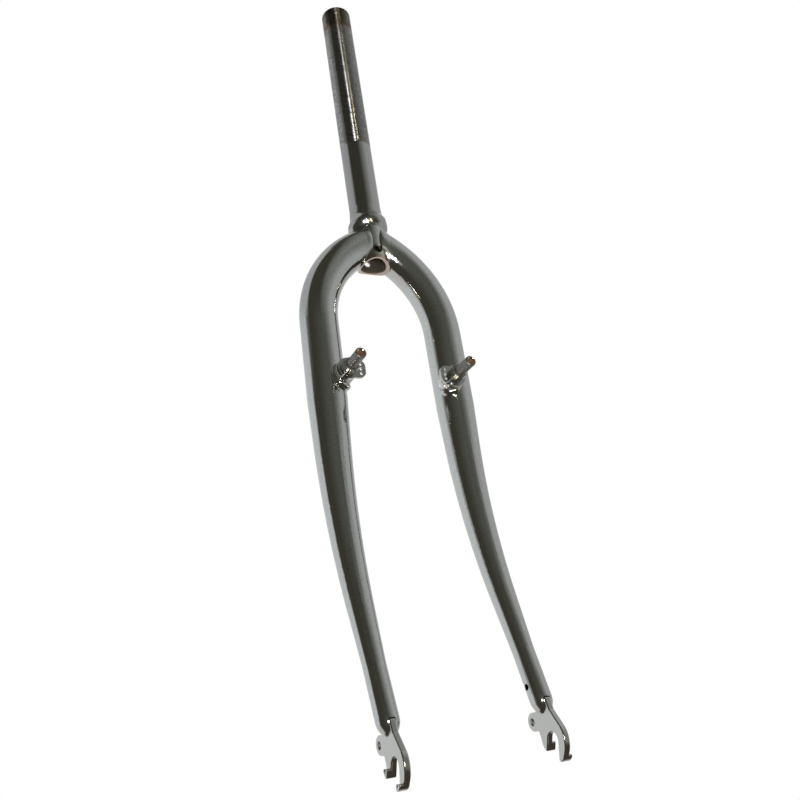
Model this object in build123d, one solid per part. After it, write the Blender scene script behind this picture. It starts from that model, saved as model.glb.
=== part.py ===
from build123d import *
from math import acos, atan, cos, degrees, radians, sin, sqrt
import os

os.makedirs("parts", exist_ok=True)

# Rigid unicrown bicycle fork. Sizes in mm, angles in degrees. The steerer stands on +Z, its race shoulder is
# at z = 0, the front of the fork is -Y and the bicycle's left is +X.

# Steerer tube
steerer_od = 25.4
steerer_bore = 22.2
butt_bore = 19.2
butt_start = 60.0
butt_end = 30.0
steerer_top = 226.0
steerer_top_chamfer = 0.7
seat_od = 26.4
seat_height = 5.0
seat_chamfer = 2.4
bolt_hole = 7.6
rear_bolt_hole = 6.0
bolt_hole_drop = 34.1
arch_top_drop = 42.4
arch_radius = 19.2
bore_rim_round = 1.2

# Collar that carries the race seat
shoulder_od = 26.7
bulge_od = 31.7
bulge_drop = 4.6
waist_od = 30.4
waist_drop = 6.8
foot_od = 25.8
foot_drop = 14.5

# Blades
blade_od = 28.6
blade_wall = 1.5
crown_drop = 23.0
crown_gap = 9.4
crown_nose_depth = 14.0
crown_nose_height = 44.0
crown_nose_drop = 28.5
bend_radius = 82.2
bend_end_x = 51.2
straight_length = 62.8
taper_upper = 30.0
rake_radius = 405.0
rake_angle = 16.8
leg_back_lean = 0.5
taper_lower = 38.0
tip_od = 14.4
tip_straight = 31.3
dome_length = 9.5
vent_hole = 4.0
vent_height = 17.5

# Dropouts, drawn from the axle's centre: first number towards the rear, second number up
hub_width = 100.6
plate_thickness = 4.2
axle_from_tip = (-4.2, -15.4)
slot_width = 10.2
slot_lean = 19.0
slot_flare = 5.0
slot_reach = 16.0
tang_length = 8.4
tang_width = 14.0
front_shoulder = (-10.2, 7.4)
front_middle = (-12.2, -0.2)
front_toe = (-8.6, -8.8)
toe_round = (-6.2, -11.4)
toe_end = (-3.4, -12.2)
heel_end = (5.6, -8.2)
heel_corner = (9.8, -5.2)
heel_neck = (12.2, 1.8)
heel_hip = 13.2
eyelet_centre = (17.8, 11.8)
eyelet_radius = 5.6
eyelet_hole = 4.8
corner_round = 1.4
edge_round = 1.0
lip_width = 2.0
lip_height = 2.3
lip_end_round = 0.9
lip_edge_round = 0.6
rear_lip_top = -0.4
front_lip_top = -8.4

# Brake bosses, their axes along Y
stud_spacing = 85.0
stud_drop = 146.5
boss_od = 15.2
boss_groove_od = 12.4
boss_groove_width = 2.0
boss_front = 21.0
boss_flange_width = 2.6
boss_root = 8.0
tail_od = 7.0
tail_length = 6.4
spring_plate_thickness = 2.0
spring_plate_reach = 12.6
spring_plate_half_height = 7.0
spring_plate_corner = 5.0
spring_plate_round = 8.0
spring_hole = 2.5
spring_hole_reach = 9.2
spring_hole_pitch = 3.6
collar_length = 4.4
stud_collar_od = 12.0
stud_neck_od = 10.0
stud_neck_length = 2.6
pivot_od = 8.0
pivot_length = 16.5
pivot_chamfer = 0.7
stud_thread = 5.0
stud_thread_depth = 14.0
thread_mouth = 0.5

# Weld beads
crown_bead = 1.5
crown_bead_reach = 0.9
crown_bead_gap = 9.4
boss_bead = 1.2
boss_bead_height = 1.8
boss_bead_sag = 1.4


def ring_profile(points):
    """Solid turned about the Z axis from a closed outline of radius and height pairs."""
    outline = make_face(Polyline(*points, close=True))
    return revolve(Plane.XZ * outline, Axis.Z)


def cylinder_between(start, end, radius):
    """Round bar between two places."""
    line = Line(start, end)
    return extrude(Plane(line @ 0, z_dir=line % 0) * Circle(radius), line.length)


# Steerer and collar
steerer_r = steerer_od / 2
bore_r = steerer_bore / 2
seat_r = seat_od / 2
butt_r = butt_bore / 2
foot = -(arch_top_drop + arch_radius)
hole_bar = cylinder_between((0, -steerer_od, -bolt_hole_drop), (0, 0, -bolt_hole_drop), bolt_hole / 2)
hole_bar += cylinder_between((0, 0, -bolt_hole_drop), (0, steerer_od, -bolt_hole_drop), rear_bolt_hole / 2)
arch_bar = cylinder_between((0, -steerer_od, foot), (0, steerer_od, foot), arch_radius)

steerer = ring_profile([
    (butt_r, foot),
    (steerer_r, foot),
    (steerer_r, 0),
    (seat_r, 0),
    (seat_r, seat_height - seat_chamfer),
    (steerer_r, seat_height),
    (steerer_r, steerer_top - steerer_top_chamfer),
    (steerer_r - steerer_top_chamfer, steerer_top),
    (bore_r, steerer_top),
    (bore_r, butt_start),
    (butt_r, butt_end),
])
steerer = steerer - hole_bar - arch_bar
foot_edges = [edge for edge in steerer.edges() if edge.bounding_box().max.Z < -(bolt_hole_drop + bolt_hole / 2)]
steerer = fillet(min(foot_edges, key=lambda edge: edge.length), bore_rim_round)

bulge_r = bulge_od / 2
shoulder_r = shoulder_od / 2
foot_r = foot_od / 2
collar_outline = make_face([
    Line((steerer_r, -foot_drop), (foot_r, -foot_drop)),
    Spline(
        (foot_r, -foot_drop),
        (waist_od / 2, -waist_drop),
        (bulge_r, -bulge_drop),
        (shoulder_r, 0),
        tangents=[(0.1, 1), (-0.2, 1)],
    ),
    Line((shoulder_r, 0), (steerer_r, 0)),
    Line((steerer_r, 0), (steerer_r, -foot_drop)),
])
collar = revolve(Plane.XZ * collar_outline, Axis.Z)

# Blade: the crown bend lies in the XZ plane, the leg below it leans out to the dropout and rakes forward
rake_drop = rake_radius * sin(radians(rake_angle))
rake_forward = rake_radius * (1 - cos(radians(rake_angle)))
tip_run = taper_lower + tip_straight + dome_length
leg_drop = straight_length + taper_upper + rake_drop + tip_run * cos(radians(rake_angle))
plate_x = (hub_width + plate_thickness) / 2
lean = degrees(atan((plate_x - bend_end_x) / leg_drop))
bend_centre_x = bend_end_x - bend_radius * cos(radians(lean))
bend_centre_z = -crown_drop - sqrt(bend_radius**2 - bend_centre_x**2)
bend_end_drop = -bend_centre_z - bend_radius * sin(radians(lean))
leg_place = Pos(bend_end_x, 0, -bend_end_drop) * Rot(leg_back_lean, -lean, 0)
tip_turn = rake_angle - leg_back_lean
bend_turn = degrees(acos(-bend_centre_x / bend_radius)) - lean
taper_length = taper_upper + radians(rake_angle) * rake_radius + taper_lower
taper_rate = (blade_od - tip_od) / 2 / taper_length


def blade_bend(inset):
    """Crown bend of a blade, from the leg up to the steerer's axis, with its surface set in."""
    ring = leg_place * Circle(blade_od / 2 - inset)
    return revolve(ring, Axis((bend_centre_x, 0, bend_centre_z), (0, -1, 0)), bend_turn)


def blade_body(inset):
    """Blade from the steerer's axis to the tip, with its surface set in by the given amount."""
    top_r = blade_od / 2 - inset
    rake_top_r = top_r - taper_rate * taper_upper
    rake_end_r = rake_top_r - taper_rate * radians(rake_angle) * rake_radius
    tip_r = tip_od / 2 - inset
    rake_z = -(straight_length + taper_upper)
    upper = ring_profile([(0, 0), (top_r, 0), (top_r, -straight_length), (rake_top_r, rake_z), (0, rake_z)])
    # The raked length bends about an axis in front of the blade
    path = Plane.YZ * CenterArc((-rake_radius, rake_z), rake_radius, 0, -rake_angle)
    start = Plane(path @ 0, z_dir=path % 0) * Circle(rake_top_r)
    end = Plane(path @ 1, z_dir=path % 1) * Circle(rake_end_r)
    raked = sweep([start, end], path, multisection=True)
    low_outline = make_face([
        Line((0, 0), (rake_end_r, 0)),
        Line((rake_end_r, 0), (tip_r, taper_lower)),
        Line((tip_r, taper_lower), (tip_r, taper_lower + tip_straight)),
        Spline(
            (tip_r, taper_lower + tip_straight),
            (tip_r * 0.72, taper_lower + tip_straight + (dome_length - inset) * 0.69),
            (0, tip_run - inset),
            tangents=[(0, 1), (-1, 0)],
        ),
        Line((0, tip_run - inset), (0, 0)),
    ])
    low = revolve(Plane.XZ * low_outline, Axis.Z)
    low = Pos(0, -rake_forward, rake_z - rake_drop) * Rot(180 - rake_angle, 0, 0) * low
    leg = leg_place * (upper + raked + low)
    return blade_bend(inset) + leg


steerer_bar = cylinder_between((0, 0, -2 * bend_end_drop), (0, 0, bend_end_drop), steerer_r)
nose_x = crown_gap / 2 + crown_nose_depth
crown_nose = Pos(nose_x, -crown_nose_drop) * Ellipse(crown_nose_depth, crown_nose_height / 2)
crown_nose += Pos(nose_x, 0) * Rectangle(4 * bend_radius, 4 * leg_drop, align=(Align.MIN, Align.CENTER))
crown_side = extrude(Plane.XZ * crown_nose, 2 * bend_radius, both=True)
blade_solid = (blade_body(0) & crown_side) - steerer_bar - collar
cavity = blade_body(blade_wall)

# Dropout plate in the YZ plane: lengths along the blade's tip and square to it
tip = (leg_place * Pos(0, -rake_forward - tip_run * sin(radians(rake_angle)), -leg_drop)).position
axle = (tip.Y + axle_from_tip[0], tip.Z + axle_from_tip[1])
inner_face = Plane.YZ.offset(hub_width / 2)
middle_face = Plane.YZ.offset(plate_x)
through = plate_thickness + lip_height + 2


def at_tip(up, forward):
    """Place on the plate, measured from the blade's tip along its axis and to the front."""
    y = tip.Y + up * sin(radians(tip_turn)) - forward * cos(radians(tip_turn))
    z = tip.Z + up * cos(radians(tip_turn)) + forward * sin(radians(tip_turn))
    return y, z


def at_axle(place):
    """Place on the plate, measured from the axle."""
    return axle[0] + place[0], axle[1] + place[1]


def slot_side(turn, side, along):
    """Place on a wall of the axle slot, which leans by the given turn."""
    u = side * slot_width / 2 * cos(radians(turn)) + along * sin(radians(turn))
    v = side * slot_width / 2 * sin(radians(turn)) - along * cos(radians(turn))
    return at_axle((u, v))


def lip_area(side, top):
    """Area below a height, on the rear or the front side of the axle, in which a lip stands up."""
    edge = Align.MIN if side > 0 else Align.MAX
    return Pos(*at_axle((0, top))) * Rectangle(4 * eyelet_centre[0], 2 * slot_reach, align=(edge, Align.MAX))


eye_u, eye_v = eyelet_centre
lobe_rise = eye_v + eyelet_radius - (at_tip(0, -tang_width / 2)[1] - axle[1])
rear_neck = at_tip(lobe_rise / cos(radians(tip_turn)), -tang_width / 2)
front_base = at_tip(0, tang_width / 2)
plate_outline = make_face([
    Line(at_tip(tang_length, -tang_width / 2), at_tip(tang_length, tang_width / 2)),
    Line(at_tip(tang_length, tang_width / 2), front_base),
    Line(front_base, at_axle(front_shoulder)),
    ThreePointArc(at_axle(front_shoulder), at_axle(front_middle), at_axle(front_toe)),
    ThreePointArc(at_axle(front_toe), at_axle(toe_round), at_axle(toe_end)),
    Line(at_axle(toe_end), at_axle(heel_end)),
    ThreePointArc(at_axle(heel_end), at_axle(heel_corner), at_axle(heel_neck)),
    Line(at_axle(heel_neck), at_axle((heel_hip, eye_v - eyelet_radius))),
    Line(at_axle((heel_hip, eye_v - eyelet_radius)), at_axle((eye_u, eye_v - eyelet_radius))),
    ThreePointArc(
        at_axle((eye_u, eye_v - eyelet_radius)),
        at_axle((eye_u + eyelet_radius, eye_v)),
        at_axle((eye_u, eye_v + eyelet_radius)),
    ),
    Line(at_axle((eye_u, eye_v + eyelet_radius)), rear_neck),
    Line(rear_neck, at_tip(tang_length, -tang_width / 2)),
])
front_turn = slot_lean - slot_flare
rear_turn = slot_lean + slot_flare
slot = Pos(*axle) * Circle(slot_width / 2)
slot += make_face(Polyline(
    slot_side(front_turn, -1, 0),
    slot_side(front_turn, -1, slot_reach),
    slot_side(rear_turn, 1, slot_reach),
    slot_side(rear_turn, 1, 0),
    close=True,
))
# Growing and shrinking the outline rounds its corners, so that its edges can be rounded in one go
plate_outline = offset(plate_outline - slot, -corner_round)
plate_outline = offset(offset(plate_outline, 2 * corner_round), -corner_round)
dropout = extrude(inner_face * plate_outline, plate_thickness)
plate_faces = dropout.faces().sort_by(Axis.X)
dropout = fillet(plate_faces[0].edges() + plate_faces[-1].edges(), edge_round)
lip_band = plate_outline - offset(plate_outline, -lip_width)
for limit in (lip_area(1, rear_lip_top), lip_area(-1, front_lip_top)):
    lip_outline = offset(offset(lip_band & limit, -lip_end_round), lip_end_round)
    lip = extrude(middle_face * lip_outline, plate_thickness / 2 + lip_height)
    dropout += fillet(lip.faces().sort_by(Axis.X)[-1].edges(), lip_edge_round)
eyelet = Pos(*at_axle(eyelet_centre)) * Circle(eyelet_hole / 2)
dropout -= extrude(inner_face * eyelet, through)

# The blade's tip is slotted for the plate, and a vent hole opens on its inner side
tip_slot = make_face(Polyline(
    at_tip(tang_length, -tip_od),
    at_tip(tang_length, tip_od),
    at_tip(-dome_length, tip_od),
    at_tip(-dome_length, -tip_od),
    close=True,
))
vent_y, vent_z = at_tip(vent_height, 0)
vent = cylinder_between((plate_x - tip_od, vent_y, vent_z), (plate_x, vent_y, vent_z), vent_hole / 2)
blade = blade_solid - cavity - extrude(inner_face * tip_slot, plate_thickness) - vent

# Brake boss, spring plate and stud, turned about an axis along -Y
stud_place = Plane((stud_spacing / 2, 0, -stud_drop), x_dir=(1, 0, 0), z_dir=(0, -1, 0))
boss_r = boss_od / 2
groove_start = boss_front - boss_flange_width - boss_groove_width
boss = ring_profile([
    (0, boss_root),
    (boss_r, boss_root),
    (boss_r, groove_start),
    (boss_groove_od / 2, groove_start),
    (boss_groove_od / 2, groove_start + boss_groove_width),
    (boss_r, groove_start + boss_groove_width),
    (boss_r, boss_front),
    (tail_od / 2, boss_front),
    (tail_od / 2, boss_front - tail_length),
    (0, boss_front - tail_length),
])
boss = stud_place * boss - blade_solid

spring_outline = Pos(-spring_plate_reach / 2, 0) * RectangleRounded(
    spring_plate_reach, 2 * spring_plate_half_height, spring_plate_corner)
spring_outline += Circle(spring_plate_round)
spring_outline -= Circle(tail_od / 2)
for row in (-1, 0, 1):
    spring_outline -= Pos(-spring_hole_reach, row * spring_hole_pitch) * Circle(spring_hole / 2)
spring_plate = stud_place * Pos(0, 0, boss_front) * extrude(spring_outline, spring_plate_thickness)

collar_start = boss_front + spring_plate_thickness
collar_end = collar_start + collar_length
neck_end = collar_end + stud_neck_length
stud_end = neck_end + pivot_length
pivot_r = pivot_od / 2
thread_r = stud_thread / 2
stud = ring_profile([
    (0, boss_front - tail_length),
    (tail_od / 2, boss_front - tail_length),
    (tail_od / 2, collar_start),
    (stud_collar_od / 2, collar_start),
    (stud_collar_od / 2, collar_end),
    (stud_neck_od / 2, neck_end),
    (pivot_r, neck_end),
    (pivot_r, stud_end - pivot_chamfer),
    (pivot_r - pivot_chamfer, stud_end),
    (thread_r + thread_mouth, stud_end),
    (thread_r, stud_end - thread_mouth),
    (thread_r, stud_end - stud_thread_depth),
    (0, stud_end - stud_thread_depth),
])
stud = stud_place * stud

# Weld beads: each stands on both surfaces that it joins
bead_bar = cylinder_between((0, 0, -bend_end_drop), (0, 0, 0), max(steerer_od, blade_od) / 2 + crown_bead_reach)
bead_side = Pos(crown_bead_gap / 2, 0, 0) * Box(
    bend_radius, 4 * steerer_r, 4 * bend_end_drop, align=(Align.MIN, Align.CENTER, Align.CENTER))
crown_weld = (blade_bend(-crown_bead) & bead_bar & bead_side) - blade_bend(0) - steerer_bar - collar
leg_top = leg_place.position
leg_end = (leg_place * Pos(0, 0, -straight_length)).position
bead_leg = cylinder_between(leg_top, leg_end, blade_od / 2 + boss_bead_height)
bead_outline = SlotCenterToCenter(boss_bead_sag, boss_od + 2 * boss_bead, rotation=90)
bead_round = Pos(0, -boss_bead_sag / 2, boss_root) * extrude(bead_outline, groove_start - boss_root)
boss_bar = stud_place * extrude(Circle(boss_r), boss_front)
boss_weld = (bead_leg & (stud_place * bead_round)) - blade_solid - boss_bar

sides = {
    "blade": blade,
    "dropout": dropout,
    "brake_boss": boss,
    "spring_plate": spring_plate,
    "brake_stud": stud,
    "crown_weld": crown_weld,
    "boss_weld": boss_weld,
}
export_step(steerer, "parts/steerer_tube.step")
export_step(collar, "parts/crown_collar.step")
for name, shape in sides.items():
    export_step(shape, f"parts/{name}_left.step")
    export_step(mirror(shape, about=Plane.YZ), f"parts/{name}_right.step")
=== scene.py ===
import bmesh
import bpy
import math
import numpy as np
from mathutils import Matrix


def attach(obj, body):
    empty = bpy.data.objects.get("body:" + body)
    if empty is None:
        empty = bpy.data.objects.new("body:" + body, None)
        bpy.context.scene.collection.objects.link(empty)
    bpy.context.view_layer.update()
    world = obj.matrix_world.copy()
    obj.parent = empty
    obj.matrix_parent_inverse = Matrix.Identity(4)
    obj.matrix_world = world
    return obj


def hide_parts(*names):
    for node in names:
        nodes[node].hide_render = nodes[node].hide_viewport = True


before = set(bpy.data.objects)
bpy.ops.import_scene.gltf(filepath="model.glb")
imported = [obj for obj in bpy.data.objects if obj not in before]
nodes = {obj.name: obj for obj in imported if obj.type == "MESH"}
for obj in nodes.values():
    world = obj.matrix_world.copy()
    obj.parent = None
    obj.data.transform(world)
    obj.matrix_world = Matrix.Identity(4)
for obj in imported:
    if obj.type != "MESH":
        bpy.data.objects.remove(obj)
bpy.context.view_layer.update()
scene = bpy.context.scene
scene.view_settings.view_transform = "Standard"
mm = 0.001
print("stage: frame loaded,", len(nodes), "nodes")


# Small helpers for node trees; a value is a number, a tuple or another node's output
def feed(tree, socket, value):
    if isinstance(value, bpy.types.NodeSocket):
        tree.links.new(value, socket)
    else:
        socket.default_value = value


def sums(tree, operation, *values):
    node = tree.nodes.new("ShaderNodeMath")
    node.operation = operation
    for socket, value in zip(node.inputs, values):
        feed(tree, socket, value)
    return node.outputs[0]


def vectors(tree, operation, *values):
    node = tree.nodes.new("ShaderNodeVectorMath")
    node.operation = operation
    for socket, value in zip(node.inputs, values):
        feed(tree, socket, value)
    return node.outputs["Value" if operation in ("LENGTH", "DISTANCE") else "Vector"]


def split(tree, vector):
    node = tree.nodes.new("ShaderNodeSeparateXYZ")
    feed(tree, node.inputs[0], vector)
    return node.outputs


def joined(tree, x, y, z):
    node = tree.nodes.new("ShaderNodeCombineXYZ")
    for socket, value in zip(node.inputs, (x, y, z)):
        feed(tree, socket, value)
    return node.outputs[0]


def ramped(tree, value, low, high):
    # 0 at low, 1 at high, smooth between
    node = tree.nodes.new("ShaderNodeMapRange")
    node.interpolation_type = "SMOOTHSTEP"
    for label, part in (("Value", value), ("From Min", low), ("From Max", high)):
        feed(tree, node.inputs[label], part)
    return node.outputs[0]


def blended(tree, amount, first, second):
    node = tree.nodes.new("ShaderNodeMix")
    node.data_type = "RGBA"
    for label, value in (("Factor", amount), ("A", first), ("B", second)):
        feed(tree, node.inputs[label], (*value, 1) if isinstance(value, tuple) else value)
    return node.outputs["Result"]


def mixedShader(tree, amount, first, second):
    node = tree.nodes.new("ShaderNodeMixShader")
    for socket, value in zip(node.inputs, (amount, first, second)):
        feed(tree, socket, value)
    return node.outputs[0]


# Camera of the photograph, which looks up at the fork from its front and right
cameraSet = {"place": (-0.249693, -0.484569, -0.389238), "azimuth": -27.753, "elevation": 22.871,
             "roll": -8.794, "focalPixels": 808.327, "imagePixels": 800, "sensor": 36.0, "clipStart": 0.01}


def makeCamera(user):
    az, el, roll = (math.radians(user[k]) for k in ("azimuth", "elevation", "roll"))
    ahead = np.array([-math.sin(az) * math.cos(el), math.cos(az) * math.cos(el), math.sin(el)])
    level = np.array([math.cos(az), math.sin(az), 0.0])
    above = np.cross(level, ahead)
    right = math.cos(roll) * level + math.sin(roll) * above
    up = math.cos(roll) * above - math.sin(roll) * level
    data = bpy.data.cameras.new("photoCamera")
    data.sensor_width = user["sensor"]
    data.lens = user["sensor"] * user["focalPixels"] / user["imagePixels"]
    data.clip_start = user["clipStart"]
    camera = bpy.data.objects.new("photoCamera", data)
    scene.collection.objects.link(camera)
    turn = np.column_stack([right, up, -ahead])
    camera.matrix_world = Matrix.LocRotScale(user["place"], Matrix(turn.tolist()).to_quaternion(), None)
    scene.camera = camera
    return camera


camera = makeCamera(cameraSet)

# Room that the plating mirrors: dim on the camera's side, pale walls behind the fork
roomTones = {"room": (0.056, 0.055, 0.042), "roomFar": (0.105, 0.108, 0.09), "turn": (0.205, 0.213, 0.19),
             "side": (0.46, 0.475, 0.465), "glow": (0.67, 0.67, 0.655), "wall": (0.70, 0.725, 0.725),
             "wallHigh": (0.48, 0.495, 0.5), "ceiling": (0.07, 0.07, 0.06),
             "ceilingLight": (0.48, 0.49, 0.48), "ground": (0.68, 0.66, 0.64), "pit": (0.06, 0.052, 0.042)}
# Tones round the room by degrees from the front, towards the bicycle's left, in four bands of height
roomBands = {
    "level": ((-180, "wall"), (-109, "wall"), (-98, "room"), (-60, "room"), (-12, "roomFar"), (12, "roomFar"),
              (30, "turn"), (58, "side"), (118, "side"), (138, "wall"), (152, "glow"), (170, "wall")),
    "raised": ((-180, "wallHigh"), (-96, "wallHigh"), (-80, "room"), (-8, "room"), (14, "turn"), (50, "side"),
               (112, "side"), (136, "wall"), (152, "glow"), (170, "wallHigh")),
    "high": ((-180, "ceilingLight"), (-100, "ceilingLight"), (-84, "room"), (-8, "room"), (18, "turn"),
             (120, "turn"), (160, "ceilingLight")),
    "below": ((-180, "ground"), (-110, "ground"), (-94, "roomFar"), (-80, "pit"), (110, "pit"),
              (140, "ground"))}
# From the level band outwards, what takes over between two elevations
roomFades = ((-12, -28, "below"), (-44, -60, "pit"),
             (22, 42, "raised"), (52, 70, "high"), (74, 89, "ceiling"))


def toneBand(tree, turn, stops):
    ramp = tree.nodes.new("ShaderNodeValToRGB")
    while len(ramp.color_ramp.elements) < len(stops):
        ramp.color_ramp.elements.new(0.5)
    for element, (degrees, tone) in zip(ramp.color_ramp.elements, stops):
        element.position = (degrees + 180) / 360
        element.color = (*roomTones[tone], 1)
    tree.links.new(turn, ramp.inputs[0])
    return ramp.outputs[0]


def makeRoom():
    world = bpy.data.worlds.new("room")
    scene.world = world
    world.use_nodes = True
    tree = world.node_tree
    tree.nodes.clear()
    parts = split(tree, tree.nodes.new("ShaderNodeTexCoord").outputs["Generated"])
    angle = sums(tree, "ARCTAN2", parts["X"], sums(tree, "MULTIPLY", parts["Y"], -1.0))
    turn = sums(tree, "ADD", sums(tree, "DIVIDE", angle, 2 * math.pi), 0.5)
    bands = {name: toneBand(tree, turn, stops) for name, stops in roomBands.items()}
    tones = roomTones | bands
    tone = bands["level"]
    for start, end, name in roomFades:
        heights = (math.sin(math.radians(a)) for a in (start, end))
        tone = blended(tree, ramped(tree, parts["Z"], *heights), tone, tones[name])
    room = tree.nodes.new("ShaderNodeBackground")
    tree.links.new(tone, room.inputs["Color"])
    white = tree.nodes.new("ShaderNodeBackground")  # what the camera sees behind the fork
    white.inputs["Color"].default_value = (1, 1, 1, 1)
    seen = tree.nodes.new("ShaderNodeLightPath").outputs["Is Camera Ray"]
    out = tree.nodes.new("ShaderNodeOutputWorld")
    tree.links.new(mixedShader(tree, seen, room.outputs[0], white.outputs[0]), out.inputs["Surface"])


# White floor far below the fork
floorSet = {"drop": -0.62, "radius": 1.1, "corners": 96, "tone": (0.9, 0.9, 0.89), "roughness": 0.9}


def makeFloor(user):
    # a disc: (r cos turn, r sin turn, drop)
    turn = np.linspace(0, 2 * np.pi, user["corners"], endpoint=False)
    rim = np.column_stack([np.cos(turn), np.sin(turn), np.zeros_like(turn)]) * user["radius"]
    rim[:, 2] = user["drop"]
    mesh = bpy.data.meshes.new("floor")
    mesh.from_pydata(rim.tolist(), [], [list(range(len(rim)))])
    floor = bpy.data.objects.new("floor", mesh)
    scene.collection.objects.link(floor)
    material = bpy.data.materials.new("floorWhite")
    material.use_nodes = True
    tree = material.node_tree
    plain = tree.nodes["Principled BSDF"]
    plain.inputs["Base Color"].default_value = (*user["tone"], 1)
    plain.inputs["Roughness"].default_value = user["roughness"]
    white = tree.nodes.new("ShaderNodeEmission")
    path = tree.nodes.new("ShaderNodeLightPath")
    seen = sums(tree, "MAXIMUM", path.outputs["Is Camera Ray"], path.outputs["Is Glossy Ray"])
    surface = mixedShader(tree, seen, plain.outputs[0], white.outputs[0])
    tree.links.new(surface, tree.nodes["Material Output"].inputs["Surface"])
    mesh.materials.append(material)
    floor.visible_glossy = False  # the plating mirrors the room instead


# A lamp beside the lens and a weaker warm one to its right, both seen only as glints on the plating
lampSet = {"cameraLamp": {"aside": 0.07, "above": 0.05, "size": 0.1,
                          "power": 0.66, "tone": (0.97, 0.985, 1.0)},
           "warmLamp": {"aside": 0.30, "above": 0.03, "size": 0.06,
                        "power": 0.4, "tone": (1.0, 0.86, 0.5)}}


def makeLamp(name, user):
    data = bpy.data.lights.new(name, "AREA")
    data.shape = "DISK"
    data.size = user["size"]
    data.energy = user["power"]
    data.color = user["tone"]
    lamp = bpy.data.objects.new(name, data)
    lamp.matrix_world = camera.matrix_world @ Matrix.Translation((user["aside"], user["above"], 0))
    scene.collection.objects.link(lamp)


makeRoom()
makeFloor(floorSet)
for name, user in lampSet.items():
    makeLamp(name, user)
print("stage: camera, room, floor and lamps")

# How every new piece is meshed: places closer than the gap are one, edges past the angle stay sharp
meshSet = {"gap": 1e-7, "sharpAngle": 60.0}


def gridPiece(name, points, ring):
    # rows x columns of places in mm; the rows close round the section,
    # the columns into a ring or to a point at each end
    rows, columns = points.shape[:2]
    index = np.arange(rows * columns).reshape(rows, columns)
    after = np.roll(index, -1, axis=0)
    here, there = (index, np.roll(index, -1, axis=1)) if ring else (index[:, :-1], index[:, 1:])
    ahead, beyond = (after, np.roll(after, -1, axis=1)) if ring else (after[:, :-1], after[:, 1:])
    faces = np.stack([here, there, beyond, ahead], axis=-1).reshape(-1, 4)
    mesh = bpy.data.meshes.new(name)
    mesh.from_pydata((points.reshape(-1, 3) * mm).tolist(), [], faces.tolist())
    shell = bmesh.new()
    shell.from_mesh(mesh)
    bmesh.ops.remove_doubles(shell, verts=shell.verts, dist=meshSet["gap"])
    bmesh.ops.recalc_face_normals(shell, faces=shell.faces)
    shell.to_mesh(mesh)
    shell.free()
    mesh.shade_smooth()
    mesh.set_sharp_from_angle(angle=math.radians(meshSet["sharpAngle"]))
    piece = bpy.data.objects.new(name, mesh)
    scene.collection.objects.link(piece)
    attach(piece, "root")
    return piece


def lumps(turn, seed, count):
    # sum of six sines with whole numbers of waves round the ring, so that it closes; between about -1 and 1
    random = np.random.default_rng(seed)
    waves = random.integers(count // 2, 2 * count, 6)
    phases = random.uniform(0, 2 * np.pi, 6)
    return sum(np.sin(w * turn + p) for w, p in zip(waves, phases)) / 3


def smooth(share):
    # 0 below 0, 1 above 1, an S curve between
    share = np.clip(share, 0, 1)
    return share * share * (3 - 2 * share)


def mirrored(points):
    return points[:, ::-1] * np.array([-1.0, 1.0, 1.0])


def unit(v):
    return v / np.linalg.norm(v, axis=-1, keepdims=True)


# Fillets between the blades and the steerer, in mm; the right one is smoother and shorter on its blade
crownSet = {"steererRadius": 12.7, "tubeRadius": 14.3, "bendRadius": 82.2, "bendCentre": (-30.999, -99.13),
            "noseStart": 4.7, "noseDepth": 14.0, "noseHalf": 22.0, "noseDrop": 28.5, "noseBlend": 0.8,
            "legOnBlade": 6.5, "legOnSteerer": 1.0, "topLeg": 5.5, "lowerShare": 0.7,
            "skirt": 14.0, "skirtRows": 12, "lift": 0.06, "sink": 1.5,
            "lump": 0.07, "lumpMiddle": 0.25, "lumpsRound": 16, "seed": 3,
            "columns": 480, "rows": 15, "heart": 1.6}
rightCrownSet = crownSet | {"legOnBlade": 4.2, "lump": 0.028}


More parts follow.
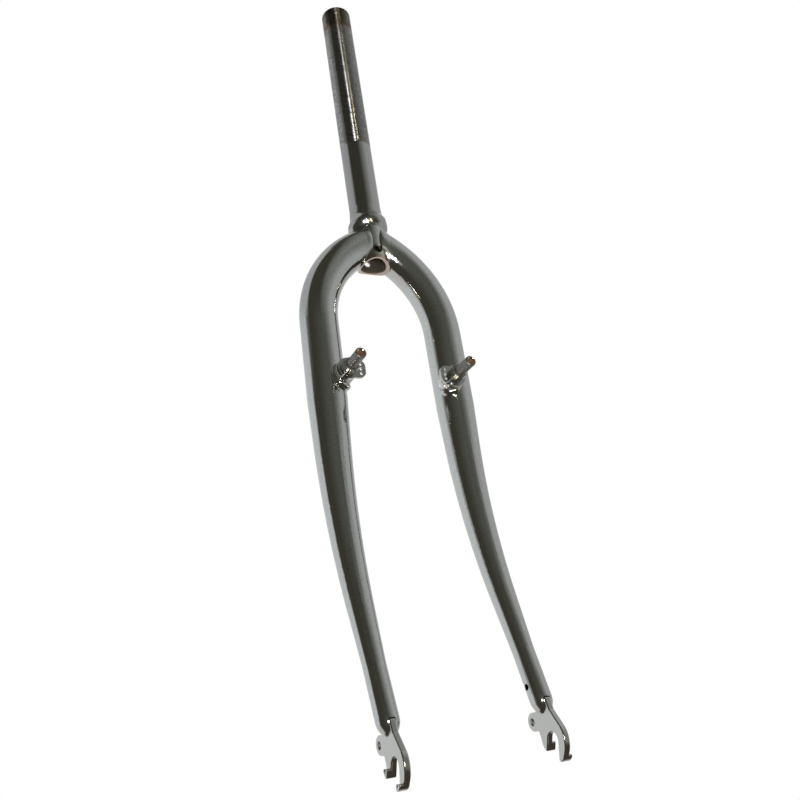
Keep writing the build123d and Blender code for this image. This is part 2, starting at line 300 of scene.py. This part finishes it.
def crownFillet(user):
    # round the tube by turn: the place on the bend is centre + (R + r cos turn)(cos a, sin a) in XZ
    # and r sin turn in Y
    turn = np.linspace(0, 2 * np.pi, user["columns"], endpoint=False)
    cx, cz = user["bendCentre"]
    reach = user["bendRadius"] + user["tubeRadius"] * np.cos(turn)
    y = user["tubeRadius"] * np.sin(turn)

    def onBend(angle):
        return np.stack([cx + reach * np.cos(angle), y, cz + reach * np.sin(angle)], axis=-1)

    def outOfTube(angle):
        return np.stack([np.cos(turn) * np.cos(angle), np.sin(turn), np.cos(turn) * np.sin(angle)], axis=-1)

    # the blade ends on the steerer, or at its own rounded nose where that lies further out,
    # which is found in a few steps
    onSteerer = np.sqrt(np.maximum(user["steererRadius"] ** 2 - y ** 2, 0))
    x = np.maximum(onSteerer, user["noseStart"])
    for _ in range(4):
        height = cz + np.sqrt(reach ** 2 - (x - cx) ** 2)
        off = np.clip((height + user["noseDrop"]) / user["noseHalf"], -1, 1)
        nose = user["noseStart"] + user["noseDepth"] * (1 - np.sqrt(1 - off ** 2))
        x = np.maximum(onSteerer, nose)
    meet = np.arccos((x - cx) / reach)
    joint = onBend(meet)
    outward = outOfTube(meet)
    radial = unit(joint * np.array([1.0, 1.0, 0.0]))
    more = user["topLeg"] * np.clip(np.cos(turn), 0, 1) ** 2
    lower = np.clip(-np.cos(turn), 0, 1) ** 2
    less = 1 - user["lowerShare"] * lower

    def onSkirt(share):
        # the weld runs on along the blade's underside, a little proud of it and sunk at its end
        angle = meet - (user["legOnBlade"] * less + more + user["skirt"] * lower * share) / reach
        proud = user["lift"] * lower * (1 - user["sink"] * share ** 4)
        return onBend(angle) + proud[:, None] * outOfTube(angle)

    bladeFoot = onSkirt(0.0)
    along = unit(outward - (outward * radial).sum(-1, keepdims=True) * radial)
    steererFoot = joint + (user["legOnSteerer"] * less + more)[:, None] * along
    steererFoot[:, :2] *= user["steererRadius"] / np.linalg.norm(steererFoot[:, :2], axis=-1, keepdims=True)
    # across the fillet a parabola goes from one surface to the other;
    # over a nose its middle lies on the blade's edge
    proudOfSteerer = np.linalg.norm(joint[:, :2], axis=-1) - user["steererRadius"]
    over = np.clip(proudOfSteerer / user["noseBlend"], 0, 1)[:, None]
    pull = joint + over * (joint - 0.5 * (bladeFoot + steererFoot))
    t = np.linspace(0, 1, user["rows"])[:, None, None]
    bumps = user["lump"] * (user["lumpMiddle"] + lumps(turn, user["seed"], user["lumpsRound"]))[None, :, None]
    rise = 16 * (t * (1 - t)) ** 2 * bumps  # full in the fillet's middle, none at its edges
    points = (1 - t) ** 2 * bladeFoot + 2 * t * (1 - t) * pull + t ** 2 * steererFoot
    heart = joint - user["heart"] * unit(outward + radial)
    skirt = np.array([onSkirt(share) for share in np.linspace(1, 0, user["skirtRows"])[:-1]])
    return np.concatenate([skirt, points + rise * unit(outward + radial), heart[None]])


crownWelds = [gridPiece("crownFilletLeft", crownFillet(crownSet), True),
              gridPiece("crownFilletRight", mirrored(crownFillet(rightCrownSet)), True)]
for piece, node in zip(crownWelds, ("crown_weld_left", "crown_weld_right")):
    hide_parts(node)

# Collar over the race seat's foot, in mm: a rounded shoulder that runs into the steerer and the blades
collarSet = {"neck": 12.74, "top": 9.0, "seat": 0.56, "seatHeight": 2.4, "start": 1.9, "full": -5.2,
             "swell": 3.0, "tilt": 1.8, "under": -5.9, "foot": -12.5, "sideDrop": 4.5, "core": 12.2,
             "lump": 0.07, "lumpTwist": 0.05, "lumpsRound": 11, "lumpSeed": 8, "grain": 0.018,
             "grainTwist": 0.3, "grainWaves": 1.7, "grainsRound": 77, "grainSeed": 31,
             "roughness": 0.17, "columns": 360, "rows": 76}


def collarSkin(user):
    # going down, the radius rises over the shoulder and falls again on the underside,
    # lower towards the blades
    turn = np.linspace(0, 2 * np.pi, user["columns"], endpoint=False)[None]
    drop = user["sideDrop"] * np.cos(turn) ** 4
    under = user["under"] - drop
    foot = user["foot"] - drop
    height = user["top"] + (foot - user["top"]) * np.linspace(0, 1, user["rows"])[:, None]
    seat = user["seat"] * np.clip((user["top"] - height) / (user["top"] - user["seatHeight"]), 0, 1)
    start = user["start"] + 0.5 * user["tilt"] * np.cos(turn)
    full = user["full"] + user["tilt"] * np.cos(turn)
    rise = smooth((start - height) / (start - full))
    fall = smooth((under - height) / (under - foot))
    bumps = user["lump"] * lumps(turn + user["lumpTwist"] * height, user["lumpSeed"], user["lumpsRound"])
    twist = user["grainTwist"] * np.sin(user["grainWaves"] * height)
    bumps = bumps + user["grain"] * lumps(turn + twist, user["grainSeed"], user["grainsRound"])
    swell = (seat + (user["swell"] - seat) * rise) * (1 - fall)
    radius = user["neck"] + swell + bumps * rise * smooth(4 * (1 - fall))
    wall = np.stack([radius * np.cos(turn), radius * np.sin(turn), height + 0 * turn], axis=-1)
    inner = user["core"] * np.stack([np.cos(turn[0]), np.sin(turn[0])], axis=-1)
    ends = [np.column_stack([inner, h]) for h in (foot[0], np.full(user["columns"], user["top"]))]
    return np.concatenate([wall, np.array(ends)])


collar = gridPiece("collarSkin", collarSkin(collarSet), True)
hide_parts("crown_collar")

# Weld beads round the brake bosses, in mm; the left one is lumpier
beadSet = {"place": (42.5, -146.5), "bossRadius": 7.6, "legAxis": (51.4, 0.42), "legRadius": 14.25,
           "thick": 1.7, "sag": 2.0, "lump": 0.14, "lumpsRound": 9, "lumpSeed": 5,
           "ripple": 0.03, "rippleTwist": 0.9, "ripplesRound": 16, "rippleSeed": 13,
           "reach": 128.0, "ends": 0.3, "columns": 220, "rows": 26}
rightBeadSet = beadSet | {"lump": 0.084, "ripple": 0.018}


def bossBead(user):
    # the boss is a bar along Y, so the bead follows (bx + r cos s, y, bz + r sin s),
    # with y on the leg's front
    s = np.radians(np.linspace(-user["reach"], user["reach"], user["columns"]))
    bx, bz = user["place"]
    ax, ay = user["legAxis"]
    x = bx + user["bossRadius"] * np.cos(s)
    depth = np.sqrt(np.maximum(user["legRadius"] ** 2 - (x - ax) ** 2, 1.0))
    path = np.stack([x, ay - depth, bz + user["bossRadius"] * np.sin(s)], axis=-1)
    along = unit(np.gradient(path, axis=0))
    out = unit(np.stack([np.cos(s), np.zeros_like(s), np.sin(s)], axis=-1))
    side = unit(np.cross(along, out))
    around = np.linspace(0, 2 * np.pi, user["rows"], endpoint=False)[:, None, None]
    ends = np.clip((np.radians(user["reach"]) - np.abs(s)) / user["ends"], 0, 1) ** 0.5
    low = np.clip(-np.sin(s), 0, 1) ** 2
    bumps = user["lump"] * lumps(s, user["lumpSeed"], user["lumpsRound"])
    thick = (user["thick"] + user["sag"] * low + bumps) * ends
    twisted = s[None] + user["rippleTwist"] * np.sin(around[..., 0])
    ripple = 1 + user["ripple"] * lumps(twisted, user["rippleSeed"], user["ripplesRound"])
    section = (thick[None] * ripple)[..., None]
    return path + section * (np.cos(around) * out + np.sin(around) * side)


bossWelds = [gridPiece("bossBeadLeft", bossBead(beadSet), False),
             gridPiece("bossBeadRight", mirrored(bossBead(rightBeadSet)), False)]
for piece, node in zip(bossWelds, ("boss_weld_left", "boss_weld_right")):
    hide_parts(node)

# Turned bosses, in mm, whose rings (start, end and radius) have rounded edges
turnedSet = {"place": (42.5, -146.5), "root": 8.0, "front": 21.0, "groove": 6.2, "round": 0.7,
             "rings": ((8.0, 13.6, 7.6), (14.2, 16.4, 7.6), (18.4, 21.0, 7.6)), "columns": 96, "rows": 260}


def turnedBoss(user):
    # radius along the axis is the groove's or a ring's; at a ring's ends it falls off as a quarter circle
    along = np.linspace(user["root"], user["front"], user["rows"])
    radius = np.full(user["rows"], user["groove"])
    for start, end, ring in user["rings"]:
        inside = np.minimum(along - start, end - along)
        short = np.clip(user["round"] - inside, 0, user["round"])
        edge = ring - user["round"] + np.sqrt(user["round"] ** 2 - short ** 2)
        radius = np.where(inside >= 0, np.maximum(radius, edge), radius)
    radius[[0, -1]] = 0
    turn = np.linspace(0, 2 * np.pi, user["columns"], endpoint=False)[:, None]
    bx, bz = user["place"]
    return np.stack([bx + radius * np.cos(turn), -along + 0 * turn, bz + radius * np.sin(turn)], axis=-1)


bosses = [gridPiece("turnedBossLeft", turnedBoss(turnedSet), False),
          gridPiece("turnedBossRight", mirrored(turnedBoss(turnedSet)), False)]
for piece, node in zip(bosses, ("brake_boss_left", "brake_boss_right")):
    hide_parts(node)
print("stage: welds, collar and bosses")


# Effects that several materials share, as node groups
def newGroup(name, inputs, outputs):
    group = bpy.data.node_groups.new(name, "ShaderNodeTree")
    for label, kind in inputs.items():
        group.interface.new_socket(label, in_out="INPUT", socket_type="NodeSocket" + kind)
    for label, kind in outputs.items():
        group.interface.new_socket(label, in_out="OUTPUT", socket_type="NodeSocket" + kind)
    return group, group.nodes.new("NodeGroupInput"), group.nodes.new("NodeGroupOutput")


def ringGroup():
    # height of turned rings: a sine of the place along the boss, which lies on Y
    inputs = {"Place": "Vector", "Pitch": "Float", "Depth": "Float"}
    group, given, made = newGroup("turnedRings", inputs, {"Height": "Float"})
    along = split(group, given.outputs["Place"])["Y"]
    phase = sums(group, "MULTIPLY", sums(group, "DIVIDE", along, given.outputs["Pitch"]), 2 * math.pi)
    height = sums(group, "MULTIPLY", sums(group, "SINE", phase), given.outputs["Depth"])
    group.links.new(height, made.inputs["Height"])
    return group


def patchGroup():
    # unevenness of old plating: a noise of several octaves, about 0
    inputs = {"Place": "Vector", "Size": "Float", "Amount": "Float"}
    group, given, made = newGroup("unevenTone", inputs, {"Level": "Float"})
    noise = group.nodes.new("ShaderNodeTexNoise")
    group.links.new(given.outputs["Place"], noise.inputs["Vector"])
    group.links.new(given.outputs["Size"], noise.inputs["Scale"])
    noise.inputs["Detail"].default_value = 4.0
    shift = sums(group, "MULTIPLY", sums(group, "SUBTRACT", noise.outputs[0], 0.5), given.outputs["Amount"])
    group.links.new(shift, made.inputs["Level"])
    return group


turnedRings = ringGroup()
unevenTone = patchGroup()


def grouped(tree, group, **values):
    node = tree.nodes.new("ShaderNodeGroup")
    node.node_tree = group
    for label, value in values.items():
        feed(tree, node.inputs[label], value)
    return node.outputs[0]


def newPlating(name, tone, roughness):
    material = bpy.data.materials.new(name)
    material.use_nodes = True
    tree = material.node_tree
    body = tree.nodes["Principled BSDF"]
    body.inputs["Base Color"].default_value = (*tone, 1)
    body.inputs["Metallic"].default_value = 1.0
    body.inputs["Roughness"].default_value = roughness
    place = tree.nodes.new("ShaderNodeTexCoord").outputs["Object"]
    return material, tree, body, place


def ringBump(tree, body, place, pitch, depth):
    bump = tree.nodes.new("ShaderNodeBump")
    bump.inputs["Distance"].default_value = 1.0
    tree.links.new(grouped(tree, turnedRings, Place=place, Pitch=pitch, Depth=depth), bump.inputs["Height"])
    tree.links.new(bump.outputs[0], body.inputs["Normal"])


# Bright plating of the blades, the welds and the spring plates: finely pitted, and rougher round the crown
chromeSet = {"tone": (0.61, 0.615, 0.61), "pitTone": (0.5, 0.49, 0.47), "pitSize": 750.0, "pitAmount": 1.2,
             "roughness": 0.1, "groundRoughness": 0.2, "groundDrop": -0.026, "groundReach": 0.027}


def chromePlating(user):
    material, tree, body, place = newPlating("chrome", user["tone"], user["roughness"])
    pits = grouped(tree, unevenTone, Place=place, Size=user["pitSize"], Amount=user["pitAmount"])
    bright = tuple(2 * t - p for t, p in zip(user["tone"], user["pitTone"]))
    tone = blended(tree, sums(tree, "ADD", 0.5, pits), user["pitTone"], bright)
    tree.links.new(tone, body.inputs["Base Color"])
    apart = vectors(tree, "DISTANCE", place, (0, 0, user["groundDrop"]))
    ground = ramped(tree, apart, user["groundReach"], 0.5 * user["groundReach"])
    rough = sums(tree, "ADD", user["roughness"], sums(tree, "MULTIPLY", ground, user["groundRoughness"]))
    tree.links.new(rough, body.inputs["Roughness"])
    return material


# Plating of the steerer: fine thread over the upper part, a dark top band and a dull brown bore
steererSet = {"tone": (0.5, 0.495, 0.495), "roughness": 0.1,
              "crownTone": (0.6, 0.6, 0.595), "crownFade": -0.01,
              "pitch": 0.001058, "threadStart": 0.0715, "threadRun": 0.0008, "groove": (0.4, 0.25),
              "flankRoughness": 0.24, "flankTilt": 40.0, "flankGrain": 0.85, "grainTurn": 0.25,
              "nicks": 2.6, "nickShare": 0.4, "nickSize": 650.0, "nickLength": 3.0,
              "nickTone": (0.06, 0.06, 0.06),
              "topTone": (0.05, 0.04, 0.032), "topFlank": (0.48, 0.44, 0.37), "topEdge": 0.209,
              "topSoft": 0.004, "topWave": 0.008, "topWaveSize": 110.0,
              "fringeTone": (0.3, 0.21, 0.16), "fringe": (2.2, 0.2),
              "boreTone": (0.17, 0.14, 0.115), "boreRoughness": 0.5, "boreRadius": 0.0114,
              "buttRadius": 0.0098, "boreSoft": 0.0004,
              "rimTone": (0.56, 0.47, 0.4), "rimTop": -0.0376, "rimSoft": 0.003,
              "holeDrop": -0.0341, "holeRadius": 0.0041, "holeSoft": 0.0003}


def threadFlank(tree, parts, user):
    # share of flank at a place: where the fraction of z / pitch - turn lies inside the groove
    turn = sums(tree, "DIVIDE", sums(tree, "ARCTAN2", parts["Y"], parts["X"]), 2 * math.pi)
    along = sums(tree, "SUBTRACT", sums(tree, "DIVIDE", parts["Z"], user["pitch"]), turn)
    wave = sums(tree, "ABSOLUTE", sums(tree, "SUBTRACT", sums(tree, "FRACT", along), 0.5))
    begun = ramped(tree, parts["Z"], user["threadStart"], user["threadStart"] + user["threadRun"])
    return sums(tree, "MULTIPLY", ramped(tree, wave, *user["groove"]), begun)


def flankShader(tree, place, parts, length, tone, user):
    flanks = tree.nodes.new("ShaderNodeBsdfPrincipled")
    flanks.inputs["Metallic"].default_value = 1.0
    flanks.inputs["Roughness"].default_value = user["flankRoughness"]
    flanks.inputs["Anisotropic"].default_value = user["flankGrain"]
    flanks.inputs["Anisotropic Rotation"].default_value = user["grainTurn"]
    around = tree.nodes.new("ShaderNodeTangent")
    around.direction_type = "RADIAL"
    around.axis = "Z"
    tree.links.new(around.outputs[0], flanks.inputs["Tangent"])
    # the flanks that show from below face outwards and down
    drop = sums(tree, "MULTIPLY", length, -math.tan(math.radians(user["flankTilt"])))
    facing = vectors(tree, "NORMALIZE", joined(tree, parts["X"], parts["Y"], drop))
    tree.links.new(facing, flanks.inputs["Normal"])
    # nicks are longer along the thread than across it
    shorter = 1 / user["nickLength"]
    drawn = vectors(tree, "MULTIPLY", place, (shorter, shorter, 1))
    nicks = grouped(tree, unevenTone, Place=drawn, Size=user["nickSize"], Amount=user["nicks"])
    worn = sums(tree, "ADD", user["nickShare"], nicks)
    tree.links.new(blended(tree, worn, tone, user["nickTone"]), flanks.inputs["Base Color"])
    return flanks


def steererPlating(user):
    material, tree, body, place = newPlating("steererPlating", user["tone"], user["roughness"])
    parts = split(tree, place)
    # the dark top ends in an uneven edge with a brown fringe below it
    uneven = grouped(tree, unevenTone, Place=place, Size=user["topWaveSize"], Amount=user["topWave"])
    height = sums(tree, "ADD", parts["Z"], uneven)
    edge, soft = user["topEdge"], user["topSoft"]
    top = ramped(tree, height, edge - soft, edge + soft)
    fringe = ramped(tree, height, *(edge - share * soft for share in user["fringe"]))
    # the bore is narrower at the foot, and the foot's rim and the bolt hole are brown
    length = vectors(tree, "LENGTH", joined(tree, parts["X"], parts["Y"], 0.0))
    foot = ramped(tree, parts["Z"], user["rimTop"], user["rimTop"] - user["rimSoft"])
    narrower = sums(tree, "MULTIPLY", foot, user["buttRadius"] - user["boreRadius"])
    radius = sums(tree, "ADD", user["boreRadius"], narrower)
    outside = ramped(tree, length, radius, sums(tree, "ADD", radius, user["boreSoft"]))
    above = sums(tree, "SUBTRACT", parts["Z"], user["holeDrop"])
    apart = vectors(tree, "LENGTH", joined(tree, parts["X"], 0.0, above))
    hole = ramped(tree, apart, user["holeRadius"], user["holeRadius"] - user["holeSoft"])
    tone = blended(tree, fringe, user["tone"], user["fringeTone"])
    tone = blended(tree, ramped(tree, parts["Z"], 0.0, user["crownFade"]), tone, user["crownTone"])
    tone = blended(tree, sums(tree, "MAXIMUM", hole, foot), tone, user["rimTone"])
    flanks = flankShader(tree, place, parts, length, blended(tree, top, tone, user["topFlank"]), user)
    tone = blended(tree, top, tone, user["topTone"])
    tone = blended(tree, outside, user["boreTone"], tone)
    tree.links.new(tone, body.inputs["Base Color"])
    tree.links.new(outside, body.inputs["Metallic"])
    dull = sums(tree, "MULTIPLY", sums(tree, "SUBTRACT", 1.0, outside), user["boreRoughness"])
    tree.links.new(sums(tree, "ADD", dull, user["roughness"]), body.inputs["Roughness"])
    flank = sums(tree, "MULTIPLY", threadFlank(tree, parts, user), outside)
    surface = mixedShader(tree, flank, body.outputs[0], flanks.outputs[0])
    tree.links.new(surface, tree.nodes["Material Output"].inputs["Surface"])
    return material


# Turned steel of the brake studs: a dull pivot with a brown hole, and a bright ringed collar behind it
studSet = {"tone": (0.36, 0.35, 0.335), "roughness": 0.4, "pitch": 0.0011, "depth": 0.00006,
           "collarTone": (0.5, 0.49, 0.47), "collarRoughness": 0.07, "collarDepth": 0.0001,
           "collarEnd": -0.0295, "soft": 0.0002, "holePlace": (0.0425, -0.1465), "holeRadius": 0.00262,
           "holeTone": (0.85, 0.55, 0.35), "holeDull": 0.7,
           "mouth": (-0.0455, -0.044), "mouthTone": (0.9, 0.88, 0.84)}


def studSteel(user):
    material, tree, body, place = newPlating("studSteel", user["tone"], user["roughness"])
    parts = split(tree, place)
    soft = user["soft"]
    collar = ramped(tree, parts["Y"], user["collarEnd"] - soft, user["collarEnd"])
    depth = sums(tree, "ADD", user["depth"], sums(tree, "MULTIPLY", collar, user["collarDepth"]))
    ringBump(tree, body, place, user["pitch"], depth)
    # both studs at once: the distance from the hole's axis, by the size of x
    across = sums(tree, "SUBTRACT", sums(tree, "ABSOLUTE", parts["X"]), user["holePlace"][0])
    above = sums(tree, "SUBTRACT", parts["Z"], user["holePlace"][1])
    apart = vectors(tree, "LENGTH", joined(tree, across, 0.0, above))
    inside = ramped(tree, apart, user["holeRadius"] + 2 * soft, user["holeRadius"] + soft)
    deep = ramped(tree, parts["Y"], *user["mouth"])
    tone = blended(tree, collar, user["tone"], user["collarTone"])
    tone = blended(tree, inside, tone, blended(tree, deep, user["mouthTone"], user["holeTone"]))
    tree.links.new(tone, body.inputs["Base Color"])
    # the hole is dull and brown but for its mouth
    dull = sums(tree, "MULTIPLY", inside, deep)
    metal = sums(tree, "SUBTRACT", 1.0, sums(tree, "MULTIPLY", dull, user["holeDull"]))
    tree.links.new(metal, body.inputs["Metallic"])
    mouth = sums(tree, "SUBTRACT", inside, dull)
    plain = sums(tree, "SUBTRACT", sums(tree, "SUBTRACT", 1.0, collar), mouth)
    rough = sums(tree, "ADD", user["collarRoughness"], sums(tree, "MULTIPLY", plain, user["roughness"]))
    tree.links.new(rough, body.inputs["Roughness"])
    return material


# Plated rings of the turned bosses
bossSteelSet = {"tone": (0.88, 0.87, 0.85), "roughness": 0.07, "pitch": 0.0019, "depth": 0.00016}


def bossPlating(user):
    material, tree, body, place = newPlating("bossPlating", user["tone"], user["roughness"])
    ringBump(tree, body, place, user["pitch"], user["depth"])
    return material


# Stamped dropouts, less polished than the tubes
dropoutSet = {"tone": (0.62, 0.615, 0.6), "roughness": 0.18}

chrome = chromePlating(chromeSet)
collarMetal = newPlating("collarPlating", steererSet["tone"], collarSet["roughness"])[0]
bossMetal = bossPlating(bossSteelSet)
metals = {"steerer_tube": steererPlating(steererSet), "brake_stud": studSteel(studSet),
          "dropout": newPlating("dropoutPlating", dropoutSet["tone"], dropoutSet["roughness"])[0]}
for name, node in nodes.items():
    node.data.materials.clear()
    node.data.materials.append(metals.get(name.removesuffix("_left").removesuffix("_right"), chrome))
for piece in crownWelds + bossWelds:
    piece.data.materials.append(chrome)
for piece in bosses:
    piece.data.materials.append(bossMetal)
collar.data.materials.append(collarMetal)
print("stage: materials")
